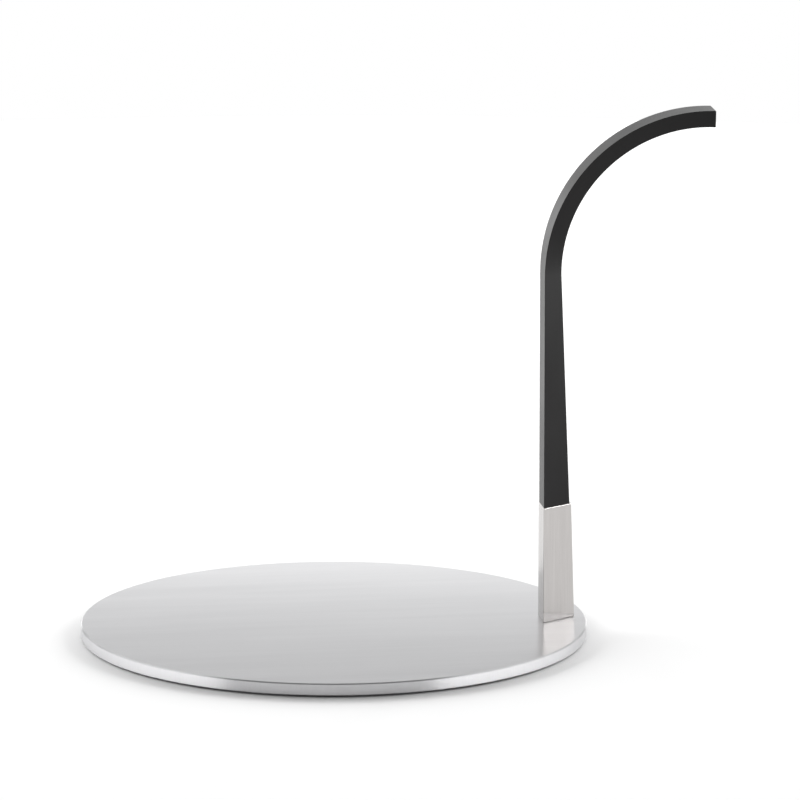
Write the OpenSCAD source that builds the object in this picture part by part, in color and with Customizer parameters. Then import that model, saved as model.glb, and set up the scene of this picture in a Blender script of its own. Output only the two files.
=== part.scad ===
// Razor stand: a round steel base plate with an upright arm near its rim.
// The arm is steel at its foot and black above it, and bends outwards, past the plate's rim.
// Z is up and the table is at zero. The origin is under the centre of the plate.
// The arm bends towards +X.

/* [Base plate] */
// Diameter of the round plate
base_d = 130; // [125:1:150]
// Thickness of the plate
base_t = 3.2; // [3:0.1:5]
// Size of the broken edges round the plate
base_edge = 0.3; // [0.1:0.1:0.6]

/* [Anti-slip pad] */
// Thickness of the pad
pad_t = 1.2; // [1:0.1:1.4]
// How far the pad stands out below the plate
pad_proud = 0.4; // [0.2:0.1:0.6]
// Bare rim of the plate's underside, round the pad
pad_margin = 3; // [2:0.5:4]

/* [Arm] */
// Height of the top of the arm above the table
arm_top = 136; // [125:1:150]
// Distance of the arm's outer face from the plate's centre
arm_x = 53; // [45:0.5:54]
// How far the arm's middle plane lies beside the plate's centre
arm_y = -5.9; // [-8:0.1:8]
// Width of the arm's outer face
arm_w = 8; // [7.6:0.1:10]
// Depth of the arm from outer face to inner face, all round its bend
arm_depth = 4.8; // [4.6:0.1:6]
// Slant of the arm's bevelled side face
side_slant = 33.5; // [25:0.5:34]

/* [Bend and tip] */
// Radius of the outer face in the bend
bend_r = 41.8; // [36:0.1:46]
// Reach of the tip from the arm's outer face
arm_reach = 43.9; // [38:0.1:44]
// Undercut of the tip's end face
tip_rake = 6; // [0:1:8]

/* [Steel foot] */
// Height of the foot above the plate
foot_h = 30.2; // [26:0.1:40]
// Depth of the foot where it meets the plate
foot_depth = 8.9; // [8.6:0.1:10]
// Depth of the foot at its top
foot_top_depth = 7.9; // [7.5:0.1:8.5]
// How far the foot's faces stand out past the black cover's
foot_proud = 0.15; // [0:0.05:0.3]

/* [Black cover] */
// Depth of the cover where it meets the foot
cover_depth = 7.4; // [6.5:0.05:7.45]

/* [Core bar] */
// Thickness of the flat bar inside the cover
core_t = 1.8; // [1.5:0.1:2]
// Width of the bar
core_w = 4.2; // [3.5:0.1:4.4]
// Length of the bar inside the foot
core_socket = 15; // [10:1:17]

/* [Fasteners] */
// Diameter of the screw that holds the foot
screw_d = 3; // [2.5:0.5:3]
// Length of the screw, with its head
screw_l = 10; // [8:1:10]
// Diameter of the dowel between plate and foot
dowel_d = 2; // [1.5:0.5:2]
// Length of the dowel
dowel_l = 6; // [5:1:8]
// Diameter of the pin through the foot and the core bar
pin_d = 1.5; // [1:0.1:1.6]
// Length of the pin
pin_l = 6; // [4.5:0.1:6]

/* [Hidden] */

$fn = 96;
eps = 0.01;

// extra size of a block that is cut down to a face
spare = 2;

// levels above the table
plate_top = pad_proud + base_t;
foot_top = plate_top + foot_h;
bend_z = arm_top - bend_r;

// clearance round a fastener or the bar in its hole
hole_gap = 0.05;

// places inside the arm, from the outer face and from the middle plane
core_u = 1.1;
core_v = 0.9;
screw_u = 3.2;
dowel_u = 6.6;
dowel_v = 2.4;
dowel_in_plate = 1.6;
pin_drop = 7;
core_end_angle = 84;

// how far round the bend the block with the slanting side reaches
block_end_angle = 120;

// height of the inner face's corner above the start of the bend
corner_rise = 0.8;

steel = "silver";
dark_steel = "dimgray";
black = [0.16, 0.16, 0.16];

// Seen from above, U runs inwards from the arm's outer face and V along that face.
// One side face is square to the outer face and the other slants.
// Where the slanting side face, grown by g, lies at a depth of u.
function slant_v(u, g) = u * tan(side_slant) - arm_w / 2 - g / cos(side_slant);
// Outline of the arm from depth u0 to u1 and up to v1, with its slanting side grown by g.
function arm_outline(u0, u1, v1, g) =
    [[u0, slant_v(u0, g)], [u1, slant_v(u1, g)], [u1, v1], [u0, v1]];

// Moves a child from the arm's own place to its place on the plate.
module on_plate() {
    translate([arm_x, arm_y, 0])
        children();
}

// Turns a side view, drawn in depth and height, into a solid w wide behind the plane v = v1.
module from_side(v1, w) {
    translate([0, v1, 0])
        rotate([90, 0, 0])
            linear_extrude(w)
                children();
}

// Sweeps an outline, given in depth and width, round the bend for a number of degrees.
module around_bend(outline, degrees) {
    translate([bend_r, 0, bend_z])
        rotate([90, 0, 0])
            rotate_extrude(angle = degrees, start = 180 - degrees, $fn = 180)
                polygon([for (p = outline) [bend_r - p[0], -p[1]]]);
}

// The cover seen from its side: a tapering straight part that runs into the bend.
// The inner face's taper runs past the start of the bend and ends there in a slight corner.
module cover_side_view() {
    corner_z = bend_z + corner_rise;
    taper = (cover_depth - arm_depth) / (corner_z - foot_top);
    polygon([
        [0, foot_top], [cover_depth, foot_top],
        [arm_depth - taper * spare, corner_z + spare],
        [arm_depth / 2, corner_z + spare],
        [arm_depth / 2, bend_z], [0, bend_z]
    ]);
    intersection() {
        translate([bend_r, bend_z])
            difference() {
                circle(bend_r, $fn = 180);
                circle(bend_r - arm_depth, $fn = 180);
            }
        polygon([
            [-spare, bend_z], [-spare, arm_top + spare],
            [arm_reach - spare * tan(tip_rake), arm_top + spare],
            [arm_reach + bend_r * tan(tip_rake), bend_z]
        ]);
    }
}

// A block with the arm's slanting side face, larger than the arm on every other side.
module slanting_block() {
    outline = arm_outline(-spare, foot_depth + spare, arm_w / 2 + spare, 0);
    translate([0, 0, foot_top])
        linear_extrude(bend_z - foot_top)
            polygon(outline);
    around_bend(outline, block_end_angle);
}

// The flat bar's own shape, grown by gap for the slot that holds it.
module bar(gap) {
    low = foot_top - core_socket - gap;
    u0 = core_u - gap;
    u1 = core_u + core_t + gap;
    v0 = core_v - core_w / 2 - gap;
    v1 = core_v + core_w / 2 + gap;
    translate([u0, v0, low])
        cube([u1 - u0, v1 - v0, bend_z - low]);
    around_bend([[u0, v0], [u1, v0], [u1, v1], [u0, v1]], core_end_angle + gap);
}

// A countersunk screw standing head down on z = 0, grown by gap for its hole.
module screw_shape(gap) {
    r = screw_d / 2 + gap;
    cylinder(h = screw_d / 2, r1 = screw_d + gap, r2 = r);
    cylinder(h = screw_l + gap, r = r);
}

module base_plate() {
    r = base_d / 2;
    pad_r = r - pad_margin;
    color(steel)
        difference() {
            rotate_extrude($fn = 360)
                polygon([
                    [0, pad_t], [pad_r, pad_t], [pad_r, pad_proud],
                    [r - base_edge, pad_proud], [r, pad_proud + base_edge],
                    [r, plate_top - base_edge], [r - base_edge, plate_top],
                    [0, plate_top]
                ]);
            on_plate()
                translate([screw_u, core_v, pad_t])
                    screw_shape(2 * hole_gap);
            on_plate()
                translate([dowel_u, dowel_v, plate_top - dowel_in_plate - hole_gap])
                    cylinder(h = dowel_l, d = dowel_d + hole_gap);
        }
}

module base_pad() {
    color(black)
        cylinder(h = pad_t, r = base_d / 2 - pad_margin - 2 * hole_gap, $fn = 360);
}

module foot_screw() {
    socket_r = screw_d / 3;
    socket_depth = screw_d * 0.4;
    color(dark_steel)
        on_plate()
            translate([screw_u, core_v, pad_t])
                difference() {
                    screw_shape(0);
                    translate([0, 0, -eps])
                        cylinder(h = socket_depth, r = socket_r, $fn = 6);
                }
}

module foot_dowel() {
    color(dark_steel)
        on_plate()
            translate([dowel_u, dowel_v, plate_top - dowel_in_plate])
                cylinder(h = dowel_l, d = dowel_d);
}

module arm_foot() {
    back = arm_w / 2 + foot_proud;
    color(steel)
        on_plate()
            difference() {
                intersection() {
                    from_side(back, 2 * arm_w)
                        polygon([
                            [-foot_proud, plate_top], [foot_depth, plate_top],
                            [foot_top_depth, foot_top], [-foot_proud, foot_top]
                        ]);
                    translate([0, 0, plate_top - spare])
                        linear_extrude(foot_h + 2 * spare)
                            polygon(arm_outline(-spare, foot_depth + spare, back + spare, foot_proud));
                }
                translate([screw_u, core_v, pad_t])
                    screw_shape(hole_gap);
                translate([dowel_u, dowel_v, plate_top - eps])
                    cylinder(h = dowel_l - dowel_in_plate + hole_gap, d = dowel_d + hole_gap);
                bar(hole_gap);
                core_pin_shape(hole_gap);
            }
}

// The cross pin, driven in from the arm's square side face.
module core_pin_shape(gap) {
    translate([core_u + core_t / 2, arm_w / 2 + foot_proud + gap, foot_top - pin_drop])
        rotate([90, 0, 0])
            cylinder(h = pin_l + 2 * gap, d = pin_d + gap);
}

module core_bar() {
    color(dark_steel)
        on_plate()
            difference() {
                bar(0);
                core_pin_shape(hole_gap);
            }
}

module core_pin() {
    color(dark_steel)
        on_plate()
            core_pin_shape(0);
}

module arm_cover() {
    color(black)
        on_plate()
            difference() {
                intersection() {
                    from_side(arm_w / 2, 2 * arm_w)
                        cover_side_view();
                    slanting_block();
                }
                bar(hole_gap);
            }
}

base_plate();
base_pad();
foot_screw();
foot_dowel();
arm_foot();
core_bar();
core_pin();
arm_cover();
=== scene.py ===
# %% [markdown]
# # A razor stand: a brushed steel disc with a slim black arm
#
# The CAD model gives the stand's true sizes. This lesson keeps its frame, rebuilds
# the pieces that show with the fine rounded edges that a maker would give them,
# and mixes a finish for each: steel brushed in one direction, satin black, rubber.
# The first step loads the CAD model, because most later sizes are read from it.

import math

import bmesh
import bpy
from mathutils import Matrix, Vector


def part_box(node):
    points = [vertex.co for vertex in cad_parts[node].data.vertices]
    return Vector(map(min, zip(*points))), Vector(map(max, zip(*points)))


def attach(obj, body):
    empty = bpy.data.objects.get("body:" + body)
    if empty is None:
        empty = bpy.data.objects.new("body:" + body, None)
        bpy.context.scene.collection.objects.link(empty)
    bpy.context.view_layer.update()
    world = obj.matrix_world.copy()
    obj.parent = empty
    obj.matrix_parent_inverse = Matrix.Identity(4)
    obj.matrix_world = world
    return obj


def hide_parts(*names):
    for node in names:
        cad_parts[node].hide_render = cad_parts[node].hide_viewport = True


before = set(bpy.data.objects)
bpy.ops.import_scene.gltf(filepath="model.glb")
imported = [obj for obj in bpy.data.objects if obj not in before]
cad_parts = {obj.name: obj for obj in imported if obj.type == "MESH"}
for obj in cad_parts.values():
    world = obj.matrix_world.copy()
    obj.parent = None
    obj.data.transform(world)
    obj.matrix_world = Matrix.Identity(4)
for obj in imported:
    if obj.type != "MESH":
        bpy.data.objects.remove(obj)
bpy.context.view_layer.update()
scene = bpy.context.scene
MM = 0.001

# %% [markdown]
# ## Sizes
#
# The boxes of the CAD pieces say where everything is. A box can't say how a face
# slants or how tight a bend is, so those few sizes are named here, as in the CAD.

# %% Read and name the sizes
plate_low, plate_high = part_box("base_plate")
pad_low, pad_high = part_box("base_pad")
foot_low, foot_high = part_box("arm_foot")
cover_low, cover_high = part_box("arm_cover")

plate_r = plate_high.y
pad_r = pad_high.y
outer_x = cover_low.x
mid_y = (cover_low.y + cover_high.y) / 2
half_w = (cover_high.y - cover_low.y) / 2
foot_proud = cover_low.x - foot_low.x
foot_depth = foot_high.x - outer_x

side_slant = math.radians(33.5)
foot_top_depth = 7.9 * MM
cover_depth = 7.4 * MM
arm_depth = 4.8 * MM
bend_r = 41.8 * MM
arm_reach = 43.9 * MM
tip_rake = math.radians(6)
bend_z = cover_high.z - bend_r
print("plate radius", round(plate_r / MM, 2), "bend starts at", round(bend_z / MM, 2))

# %% [markdown]
# ## Camera
#
# A product like this is shot with a long lens from well back, so that the round
# plate keeps its even shape. The camera stands a little above the stand and a few
# degrees to its left. An empty target isn't needed: the camera is turned once
# towards a point on the stand.

# %% Camera
camera_at = Vector((-248.3, -1888.8, 478.4)) * MM
looks_at = Vector((16.84, -2.37, 61.67)) * MM
SENSOR_MM = 36
LENS_MM = 343.5
NEAREST, FARTHEST = 0.05, 50

camera = bpy.data.objects.new("camera", bpy.data.cameras.new("camera"))
scene.collection.objects.link(camera)
camera.location = camera_at
camera.rotation_mode = "QUATERNION"
camera.rotation_quaternion = (looks_at - camera_at).to_track_quat("-Z", "Y")
camera.data.sensor_width = SENSOR_MM
camera.data.lens = LENS_MM
camera.data.clip_start = NEAREST
camera.data.clip_end = FARTHEST
scene.camera = camera
print("camera stands", round((looks_at - camera_at).length, 3), "m away")

# %% [markdown]
# ## Floor and world
#
# The stand is on a white table in a white room. The table is a flat disc, much
# wider than the stand. The camera sees the world as pure white, so the table's far
# edge hardly shows against it, but the stand is lit by a much dimmer world.
# Otherwise every shadow would be washed out, and steel would mirror nothing but
# white.

# %% Floor and world
scene.view_settings.view_transform = "Standard"

TABLE_RADIUS = 0.75
TABLE_WHITE = (0.93, 0.93, 0.93, 1)
PURE_WHITE = (1, 1, 1, 1)
ROOM_STRENGTH = 0.27

bm = bmesh.new()
bmesh.ops.create_circle(bm, cap_ends=True, segments=128, radius=TABLE_RADIUS)
floor_mesh = bpy.data.meshes.new("floor")
bm.to_mesh(floor_mesh)
bm.free()
floor = bpy.data.objects.new("floor", floor_mesh)
scene.collection.objects.link(floor)

table_paint = bpy.data.materials.new("white_table")
table_paint.use_nodes = True
table_shader = table_paint.node_tree.nodes["Principled BSDF"]
table_shader.inputs["Base Color"].default_value = TABLE_WHITE
table_shader.inputs["Roughness"].default_value = 0.9
table_shader.inputs["Specular IOR Level"].default_value = 0.1
floor_mesh.materials.append(table_paint)

world = bpy.data.worlds.new("white_room")
world.use_nodes = True
room = world.node_tree
room_light = room.nodes["Background"]
room_light.inputs["Color"].default_value = PURE_WHITE
room_light.inputs["Strength"].default_value = ROOM_STRENGTH
white_wall = room.nodes.new("ShaderNodeBackground")
white_wall.inputs["Color"].default_value = PURE_WHITE
seen = room.nodes.new("ShaderNodeLightPath")
choose = room.nodes.new("ShaderNodeMixShader")
room.links.new(seen.outputs["Is Camera Ray"], choose.inputs["Fac"])
room.links.new(room_light.outputs["Background"], choose.inputs[1])
room.links.new(white_wall.outputs["Background"], choose.inputs[2])
room.links.new(choose.outputs["Shader"], room.nodes["World Output"].inputs["Surface"])
scene.world = world
print("table", 2 * TABLE_RADIUS, "m across, room light of strength", ROOM_STRENGTH)

# %% [markdown]
# ## Soft boxes
#
# Metal has no colour of its own to show: it shows the room. So the room is what makes
# steel look like steel, and it needs bright parts and dimmer parts. Soft boxes stand
# round the object as in a studio. Those at the left and right brighten the two sides
# of the plate's rim and leave its middle darker, and a low one close behind draws a
# gradient over the plate. The arm's boxes give the pale strip on its outer face and
# the sheen on its side. Area lights are used, because they are soft and give little
# noise, and they are hidden from the camera.
#
# A studio shields each light from what it shouldn't touch. Light linking does that
# here: a light shines only on the objects in its group. The table has its own lights,
# which keep it white and leave a soft shadow close to the plate.

# %% Soft boxes
def lit_group(name, *members):
    """A group of objects that some lights shine on."""
    group = bpy.data.collections.new(name)
    for member in members:
        group.objects.link(member)
    return group


def soft_box(name, group, azimuth, distance, width, low, high, brightness):
    """An upright soft box facing the stand. Azimuth 0 is at the camera, 90 at its right."""
    heading = math.atan2(camera_at.y, camera_at.x) + math.radians(azimuth)
    towards = Vector((math.cos(heading), math.sin(heading), 0))
    data = bpy.data.lights.new(name, "AREA")
    data.shape = "RECTANGLE"
    data.size, data.size_y = width, high - low
    data.energy = brightness * math.pi * data.size * data.size_y
    lamp = bpy.data.objects.new(name, data)
    scene.collection.objects.link(lamp)
    lamp.location = towards * distance + Vector((0, 0, (low + high) / 2))
    lamp.rotation_mode = "QUATERNION"
    lamp.rotation_quaternion = (-towards).to_track_quat("-Z", "Y")
    lamp.visible_camera = False
    lamp.light_linking.receiver_collection = group
    print(name, "at", [round(x, 2) for x in lamp.location])


lit_table = lit_group("lit_table", floor)
lit_stand = lit_group("lit_stand")
lit_plate = lit_group("lit_plate")
lit_arm = lit_group("lit_arm")

SOFT_BOXES = [
    # name, group, azimuth, distance, width, low, high, brightness
    ("table_box", lit_table, -120, 2.6, 3.2, 0, 2.2, 4.15),
    ("table_box", lit_table, 120, 2.6, 3.2, 0, 2.2, 4.15),
    ("table_box", lit_table, 180, 2.6, 3.2, 0, 2.2, 4.15),
    ("left_box", lit_plate, -93, 0.45, 0.9, 0, 0.07, 7.6),
    ("right_box", lit_plate, 88, 0.47, 0.9, 0, 0.07, 8.7),
    ("left_high_box", lit_stand, -106, 0.6, 0.8, 0.3, 1.1, 0.82),
    ("right_high_box", lit_stand, 106, 0.6, 0.8, 0.3, 1.1, 0.73),
    ("plate_box", lit_plate, 180, 0.17, 0.26, 0, 0.055, 1.25),
    ("plate_high_box", lit_plate, 180, 1.0, 1.8, 0.2, 0.9, 0.5),
    ("arm_side_box", lit_arm, 88, 0.9, 1.4, 0, 0.2, 9.5),
    ("arm_box", lit_arm, 180, 0.76, 1.8, 0, 0.2, 1.35),
    ("arm_high_box", lit_arm, 180, 0.76, 1.8, 0.2, 0.8, 0.84),
]
for row in SOFT_BOXES:
    soft_box(*row)

# %% [markdown]
# ## Helpers for the finishes
#
# Every finish starts in the same way: a Principled shader, and noise that reads the
# piece's own coordinates in metres, so that a scratch has its true size. The helpers
# keep each finish down to what is special about it.

# %% Helpers for the finishes
def new_finish(name):
    """A new material, with its node tree and its shader."""
    material = bpy.data.materials.new(name)
    material.use_nodes = True
    return material, material.node_tree, material.node_tree.nodes["Principled BSDF"]


def noise(tree, stretch, detail=2.0):
    """Noise on the piece's own coordinates. stretch is how often it repeats per metre."""
    place = tree.nodes.new("ShaderNodeTexCoord")
    mapping = tree.nodes.new("ShaderNodeMapping")
    texture = tree.nodes.new("ShaderNodeTexNoise")
    mapping.inputs["Scale"].default_value = stretch
    texture.inputs["Scale"].default_value = 1
    texture.inputs["Detail"].default_value = detail
    tree.links.new(place.outputs["Object"], mapping.inputs["Vector"])
    tree.links.new(mapping.outputs["Vector"], texture.inputs["Vector"])
    return texture.outputs["Fac"]


def between(tree, factor, low, high, factor_low=0.3, factor_high=0.7):
    """Turns a factor into a value from low to high."""
    node = tree.nodes.new("ShaderNodeMapRange")
    node.inputs["From Min"].default_value = factor_low
    node.inputs["From Max"].default_value = factor_high
    node.inputs["To Min"].default_value = low
    node.inputs["To Max"].default_value = high
    tree.links.new(factor, node.inputs["Value"])
    return node.outputs["Result"]


def two_tones(tree, factor, first, second, factor_low=0.3, factor_high=0.7):
    """Turns a factor into a colour between two."""
    ramp = tree.nodes.new("ShaderNodeValToRGB")
    ramp.color_ramp.elements[0].position = factor_low
    ramp.color_ramp.elements[1].position = factor_high
    ramp.color_ramp.elements[0].color = (*first, 1)
    ramp.color_ramp.elements[1].color = (*second, 1)
    tree.links.new(factor, ramp.inputs["Fac"])
    return ramp.outputs["Color"]


def add_bump(tree, shader, height, strength, distance):
    """Raises and lowers the surface by a factor, as far as the distance."""
    bump = tree.nodes.new("ShaderNodeBump")
    bump.inputs["Strength"].default_value = strength
    bump.inputs["Distance"].default_value = distance
    tree.links.new(height, bump.inputs["Height"])
    tree.links.new(bump.outputs["Normal"], shader.inputs["Normal"])


def mixed(tree, first, second, share):
    """Two factors mixed by a share."""
    node = tree.nodes.new("ShaderNodeMix")
    node.data_type = "FLOAT"
    node.inputs["Factor"].default_value = share
    tree.links.new(first, node.inputs["A"])
    tree.links.new(second, node.inputs["B"])
    return node.outputs["Result"]


# %% [markdown]
# ## Brushed steel
#
# Brushing leaves thousands of fine parallel grooves. Light spreads across the
# grooves and hardly along them, which a shader does with anisotropy, turned by the
# tangent of a UV map that is laid along the grain. Fine noise, stretched along the
# grain, gives the streaks that the eye still sees, and slower noise gives the soft
# bands where the brush pressed harder. The grain's direction differs from piece to
# piece, so one function makes the finish and takes the stretch.

# %% Brushed steel
GRAIN = "grain"
GROOVE_DEPTH = 0.02 * MM
QUARTER_TURN = 0.25


def brushed_steel(name, light, dark, fine, bands, roughness, anisotropy, relief):
    """Steel brushed one way. fine and bands stretch the fine and the slow noise."""
    material, tree, shader = new_finish(name)
    streaks = noise(tree, fine, 3.0)
    bands_of_wear = noise(tree, bands, 2.0)
    together = mixed(tree, streaks, bands_of_wear, 0.5)
    colour = two_tones(tree, together, dark, light, 0.35, 0.65)
    tree.links.new(colour, shader.inputs["Base Color"])
    rough = between(tree, together, roughness[1], roughness[0], 0.35, 0.65)
    tree.links.new(rough, shader.inputs["Roughness"])
    shader.inputs["Metallic"].default_value = 1
    shader.inputs["Anisotropic"].default_value = anisotropy
    shader.inputs["Anisotropic Rotation"].default_value = QUARTER_TURN
    tangent = tree.nodes.new("ShaderNodeTangent")
    tangent.direction_type = "UV_MAP"
    tangent.uv_map = GRAIN
    tree.links.new(tangent.outputs["Tangent"], shader.inputs["Tangent"])
    add_bump(tree, shader, streaks, relief, GROOVE_DEPTH)
    print(name, "brushed with anisotropy", anisotropy)
    return material


plate_steel = brushed_steel(
    "plate_brushed_steel",
    light=(0.63, 0.63, 0.64),
    dark=(0.60, 0.60, 0.61),
    fine=(60, 4000, 400),
    bands=(14, 220, 60),
    roughness=(0.287, 0.303),
    anisotropy=0.75,
    relief=0.12,
)
foot_steel = brushed_steel(
    "foot_brushed_steel",
    light=(0.55, 0.53, 0.52),
    dark=(0.497, 0.478, 0.468),
    fine=(3500, 3500, 60),
    bands=(700, 700, 25),
    roughness=(0.15, 0.22),
    anisotropy=0.7,
    relief=0.35,
)

# %% [markdown]
# ## Satin black
#
# The arm above its foot is black with a soft sheen. It reflects a pale grey streak
# where it is seen edge on and almost nothing where it faces the eye, which is what
# any clear surface over black does. So it is a dark Principled shader with a low
# index of refraction. A fine grain keeps the sheen from looking like glass.

# %% Satin black
GRAIN_DEPTH = 0.03 * MM


def satin_black():
    """Black with a soft sheen and a fine grain."""
    material, tree, shader = new_finish("satin_black")
    grain = noise(tree, (2600, 2600, 2600), 3.0)
    patches = noise(tree, (90, 90, 40), 2.0)
    together = mixed(tree, grain, patches, 0.5)
    colour = two_tones(tree, together, (0.0018, 0.0014, 0.0016), (0.0028, 0.0023, 0.0025))
    tree.links.new(colour, shader.inputs["Base Color"])
    tree.links.new(between(tree, together, 0.28, 0.36), shader.inputs["Roughness"])
    shader.inputs["IOR"].default_value = 1.26
    add_bump(tree, shader, grain, 0.06, GRAIN_DEPTH)
    print(material.name, "mixed")
    return material


cover_black = satin_black()

# %% [markdown]
# ## Rubber and plain steel
#
# The pad under the plate is dark grey rubber with a fine matt grain. The screw, the
# dowel, the pin and the bar inside the arm are plain turned or rolled steel. They
# are hidden or nearly hidden, but a piece may be looked at on its own.

# %% Rubber and plain steel
RUBBER_GRAIN_DEPTH = 0.08 * MM


def rubber():
    """Dark grey rubber with a matt grain."""
    material, tree, shader = new_finish("pad_grey_rubber")
    grain = noise(tree, (1800, 1800, 1800), 4.0)
    colour = two_tones(tree, grain, (0.018, 0.018, 0.018), (0.036, 0.035, 0.034))
    tree.links.new(colour, shader.inputs["Base Color"])
    tree.links.new(between(tree, grain, 0.7, 0.9), shader.inputs["Roughness"])
    add_bump(tree, shader, grain, 0.5, RUBBER_GRAIN_DEPTH)
    print(material.name, "mixed")
    return material


def plain_steel(name, stretch, tone):
    """Steel with the marks of turning or rolling. stretch lays them out."""
    material, tree, shader = new_finish(name)
    marks = noise(tree, stretch, 3.0)
    colour = two_tones(tree, marks, [x * 0.8 for x in tone], tone)
    tree.links.new(colour, shader.inputs["Base Color"])
    tree.links.new(between(tree, marks, 0.25, 0.42), shader.inputs["Roughness"])
    shader.inputs["Metallic"].default_value = 1
    add_bump(tree, shader, marks, 0.2, GROOVE_DEPTH)
    print(name, "mixed")
    return material


pad_rubber = rubber()
fastener_steel = plain_steel("fastener_turned_steel", (900, 900, 4000), (0.55, 0.54, 0.52))
core_steel = plain_steel("core_rolled_steel", (1500, 1500, 150), (0.5, 0.5, 0.5))

# %% [markdown]
# ## Helpers for the pieces
#
# A piece is made in a bmesh. The last helper turns it into an object, points its
# faces outwards, tells the frame which body it rides on, hides the CAD node it
# stands for, and prints its size, so that a mistake shows at once. Weighted
# normals keep the large flat faces flat beside their small rounded edges, and an
# edge that turns more than a crease stays sharp.

# %% Helpers for the pieces
def edges_between(bm, test):
    """The edges of a bmesh whose two ends pass a test of a point."""
    return [e for e in bm.edges if all(test(v.co) for v in e.verts)]


def round_off(bm, edges, size, segments=3):
    """Bevels edges. Three segments round them, and one leaves a flat chamfer."""
    bmesh.ops.bevel(
        bm,
        geom=edges,
        offset=size,
        offset_type="OFFSET",
        segments=segments,
        profile=0.5,
        affect="EDGES",
        clamp_overlap=True,
        material=-1,
    )


CREASE = math.radians(40)
MERGE_DISTANCE = 0.0005 * MM


def finish_piece(bm, name, material, node):
    """Turns a bmesh into a finished piece that stands for a CAD node."""
    bmesh.ops.remove_doubles(bm, verts=bm.verts, dist=MERGE_DISTANCE)
    bmesh.ops.recalc_face_normals(bm, faces=bm.faces)
    open_edges = [e for e in bm.edges if not e.is_manifold]
    for face in bm.faces:
        face.smooth = True
    for edge in bm.edges:
        edge.smooth = not edge.is_manifold or edge.calc_face_angle() < CREASE
    mesh = bpy.data.meshes.new(name)
    bm.to_mesh(mesh)
    bm.free()
    mesh.materials.append(material)
    piece = bpy.data.objects.new(name, mesh)
    scene.collection.objects.link(piece)
    normals = piece.modifiers.new("even_shading", "WEIGHTED_NORMAL")
    normals.keep_sharp = True
    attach(piece, "root")
    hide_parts(node)
    lit_stand.objects.link(piece)
    size = [round(x / MM, 2) for x in piece.dimensions]
    print(name, "size", size, "mm,", len(mesh.polygons), "faces")
    print(name, "open edges:", len(open_edges))
    return piece


# %% [markdown]
# ## The plate
#
# The plate is a disc cut from sheet steel, with its edges broken so that they don't
# cut, and a shallow recess underneath for the pad. A filled circle is raised to the
# plate's thickness, then inset and sunk for the recess, and both rims get a flat
# chamfer, which draws one thin line of its own shade. The grain on the flat faces
# runs from side to side, and on the rim it runs round, as the tool that turned it did.

# %% Plate
PLATE_SEGMENTS = 256
EDGE_BREAK = 0.3 * MM
FLAT = 0.99
pad_top = pad_high.z
plate_top = plate_high.z

bm = bmesh.new()
bmesh.ops.create_circle(bm, cap_ends=True, segments=PLATE_SEGMENTS, radius=plate_r)
bmesh.ops.translate(bm, vec=(0, 0, plate_low.z), verts=bm.verts)
grown = bmesh.ops.extrude_face_region(bm, geom=bm.faces[:])
raised = [v for v in grown["geom"] if isinstance(v, bmesh.types.BMVert)]
bmesh.ops.translate(bm, vec=(0, 0, plate_top - plate_low.z), verts=raised)
bmesh.ops.recalc_face_normals(bm, faces=bm.faces)

underside = [f for f in bm.faces if f.normal.z < -0.5]
bmesh.ops.inset_region(bm, faces=underside, thickness=plate_r - pad_r, use_even_offset=True)
bmesh.ops.translate(bm, vec=(0, 0, pad_top - plate_low.z), verts=underside[0].verts)
rims = edges_between(bm, lambda p: p.xy.length > plate_r * 0.999)
rims = [e for e in rims if abs(e.verts[0].co.z - e.verts[1].co.z) < EDGE_BREAK / 10]
round_off(bm, rims, EDGE_BREAK, 1)


def lay_plate_grain(bm):
    """Lays the UV map along X on the flat faces and round the plate on its rim."""
    grain = bm.loops.layers.uv.new(GRAIN)
    for face in bm.faces:
        flat = abs(face.normal.z) > FLAT
        middle = face.calc_center_median()
        for loop in face.loops:
            p = loop.vert.co
            if flat:
                loop[grain].uv = (p.x, p.y)
            else:
                turn = middle.xy.angle_signed(p.xy)
                loop[grain].uv = (turn * plate_r, p.z)


lay_plate_grain(bm)
plate = finish_piece(bm, "plate", plate_steel, "base_plate")
lit_plate.objects.link(plate)

# %% [markdown]
# ## The pad
#
# A flat ring of shadow shows between the plate and the table, because a thin rubber
# pad, a little smaller than the plate, carries it. The pad is a disc with a soft
# lower edge, let into the plate's recess.

# %% Pad
HAIR = 0.01 * MM
PAD_EDGE = 0.15 * MM

bm = bmesh.new()
bmesh.ops.create_circle(bm, cap_ends=True, segments=PLATE_SEGMENTS, radius=pad_r)
bmesh.ops.translate(bm, vec=(0, 0, pad_low.z), verts=bm.verts)
grown = bmesh.ops.extrude_face_region(bm, geom=bm.faces[:])
raised = [v for v in grown["geom"] if isinstance(v, bmesh.types.BMVert)]
bmesh.ops.translate(bm, vec=(0, 0, pad_top - pad_low.z), verts=raised)
round_off(bm, edges_between(bm, lambda p: p.z < pad_low.z + HAIR), PAD_EDGE)
finish_piece(bm, "pad", pad_rubber, "base_pad")

# %% [markdown]
# ## The arm's cross section
#
# Seen from above, the arm has a narrow outer face, a square back, and a front side
# that slants inwards. One function gives the corners of that section for any
# depth, so that the foot and the cover share it.

# %% Cross section of the arm
def section(bm, z, u_outer, u_inner, grown_by=0.0):
    """Four vertices of the arm's section.

    u is the distance inwards from the outer face, and grown_by moves every side out.
    """
    def slanting_side(u):
        return u * math.tan(side_slant) - half_w - grown_by / math.cos(side_slant)

    corners = [
        (u_outer - grown_by, slanting_side(u_outer - grown_by)),
        (u_inner + grown_by, slanting_side(u_inner + grown_by)),
        (u_inner + grown_by, half_w + grown_by),
        (u_outer - grown_by, half_w + grown_by),
    ]
    return [bm.verts.new((outer_x + u, mid_y + v, z)) for u, v in corners]


def wall(bm, lower, upper):
    """The four side faces between two sections."""
    for i in range(4):
        j = (i + 1) % 4
        bm.faces.new((lower[i], lower[j], upper[j], upper[i]))


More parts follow.
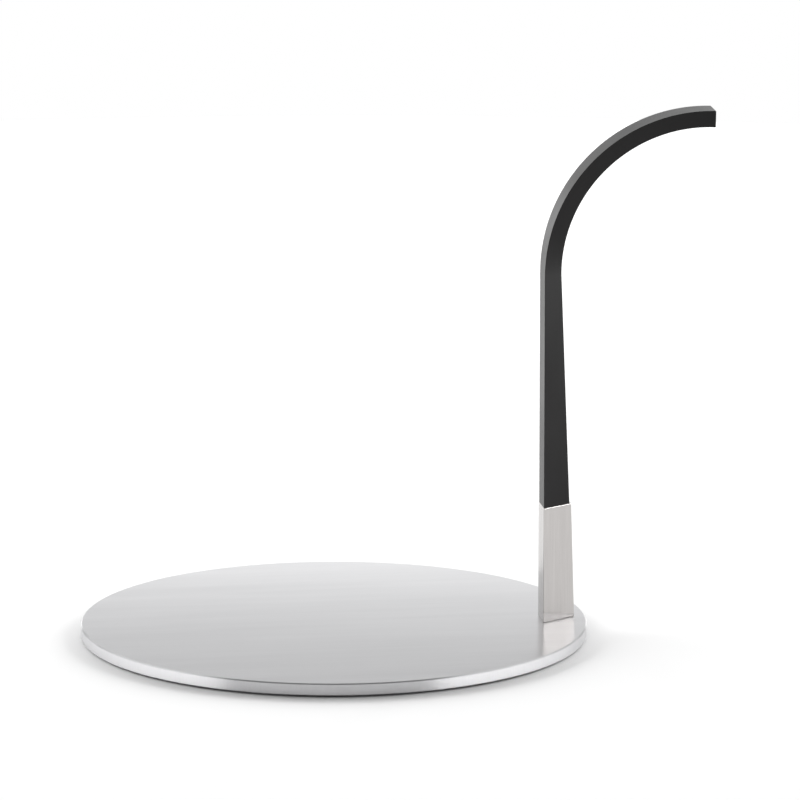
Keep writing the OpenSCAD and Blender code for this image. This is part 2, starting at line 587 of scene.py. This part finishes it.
# %% [markdown]
# ## The steel foot
#
# The foot is a solid block, ground to the arm's section, that tapers a little
# towards the top. All its edges are broken a little. At the bottom that leaves a hair
# of shadow where it stands on the plate, and at the top a thin line that catches the
# light under the cover.

# %% Foot
FOOT_EDGE = 0.2 * MM
NEARLY_LEVEL = 0.3

bm = bmesh.new()
foot_bottom = section(bm, foot_low.z, 0, foot_depth - foot_proud, foot_proud)
foot_rim = section(bm, foot_high.z, 0, foot_top_depth - foot_proud, foot_proud)
wall(bm, foot_bottom, foot_rim)
bm.faces.new(foot_bottom[::-1])
bm.faces.new(foot_rim)
round_off(bm, bm.edges[:], FOOT_EDGE)


def lay_upright_grain(bm):
    """Lays the UV map so that the grain runs up the piece."""
    grain = bm.loops.layers.uv.new(GRAIN)
    for face in bm.faces:
        across = Vector((0, 0, 1)).cross(face.normal)
        if across.length < NEARLY_LEVEL:
            across = Vector((0, 1, 0))
        across.normalize()
        up = face.normal.cross(across)
        for loop in face.loops:
            loop[grain].uv = (loop.vert.co.dot(up), loop.vert.co.dot(across))


bmesh.ops.recalc_face_normals(bm, faces=bm.faces)
lay_upright_grain(bm)
foot = finish_piece(bm, "foot", foot_steel, "arm_foot")
lit_arm.objects.link(foot)

# %% [markdown]
# ## The black cover
#
# The cover starts on the foot, tapers upwards, and bends over in one even curve. It
# is made as it would be drawn: sections up the straight part, then the last section
# is spun round the bend's centre, and a plane cuts the tip. Its long edges are only
# just rounded, because the border between its grey and its black face is crisp. The
# bottom edge stays sharp where it meets the foot.

# %% Cover
BEND_STEPS = 72
COVER_EDGE = 0.14 * MM
WELD = 0.001 * MM
SHARP = math.radians(30)
SPARE_TURN = math.radians(6)

bm = bmesh.new()
taper = (cover_depth - arm_depth) / (bend_z - cover_low.z)
heights = [cover_low.z, (cover_low.z + bend_z) / 2, bend_z]
rings = [section(bm, z, 0, cover_depth - (z - cover_low.z) * taper) for z in heights]
for lower, upper in zip(rings, rings[1:]):
    wall(bm, lower, upper)
bm.faces.new(rings[0][::-1])
bend_face = bm.faces.new(rings[-1])
bend_centre = Vector((outer_x + bend_r, mid_y, bend_z))
bmesh.ops.spin(
    bm,
    geom=[bend_face, *bend_face.edges, *bend_face.verts],
    cent=bend_centre,
    axis=(0, 1, 0),
    angle=math.pi / 2 + SPARE_TURN,
    steps=BEND_STEPS,
    use_merge=False,
    use_duplicate=False,
)
tip_plane = Vector((outer_x + arm_reach, mid_y, cover_high.z))
cut = bmesh.ops.bisect_plane(
    bm,
    geom=bm.verts[:] + bm.edges[:] + bm.faces[:],
    plane_co=tip_plane,
    plane_no=(math.cos(tip_rake), 0, math.sin(tip_rake)),
    clear_outer=True,
)
rim_edges = [e for e in cut["geom_cut"] if isinstance(e, bmesh.types.BMEdge)]
bmesh.ops.contextual_create(bm, geom=rim_edges)
bmesh.ops.remove_doubles(bm, verts=bm.verts, dist=WELD)
bmesh.ops.recalc_face_normals(bm, faces=bm.faces)
sharp = [e for e in bm.edges if e.is_manifold and e.calc_face_angle() > SHARP]
sharp = [e for e in sharp if not all(v.co.z < cover_low.z + HAIR for v in e.verts)]
round_off(bm, sharp, COVER_EDGE)
cover = finish_piece(bm, "cover", cover_black, "arm_cover")
lit_arm.objects.link(cover)

# %% [markdown]
# ## The pieces kept from the CAD
#
# The fasteners and the bar are the right shape already. They stay as they are and
# only get their finish.

# %% Finishes of the kept pieces
kept = {
    "foot_screw": fastener_steel,
    "foot_dowel": fastener_steel,
    "core_pin": fastener_steel,
    "core_bar": core_steel,
}
for node, material in kept.items():
    lit_stand.objects.link(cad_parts[node])
    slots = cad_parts[node].data.materials
    slots.clear()
    slots.append(material)
    print(node, "now has", material.name)
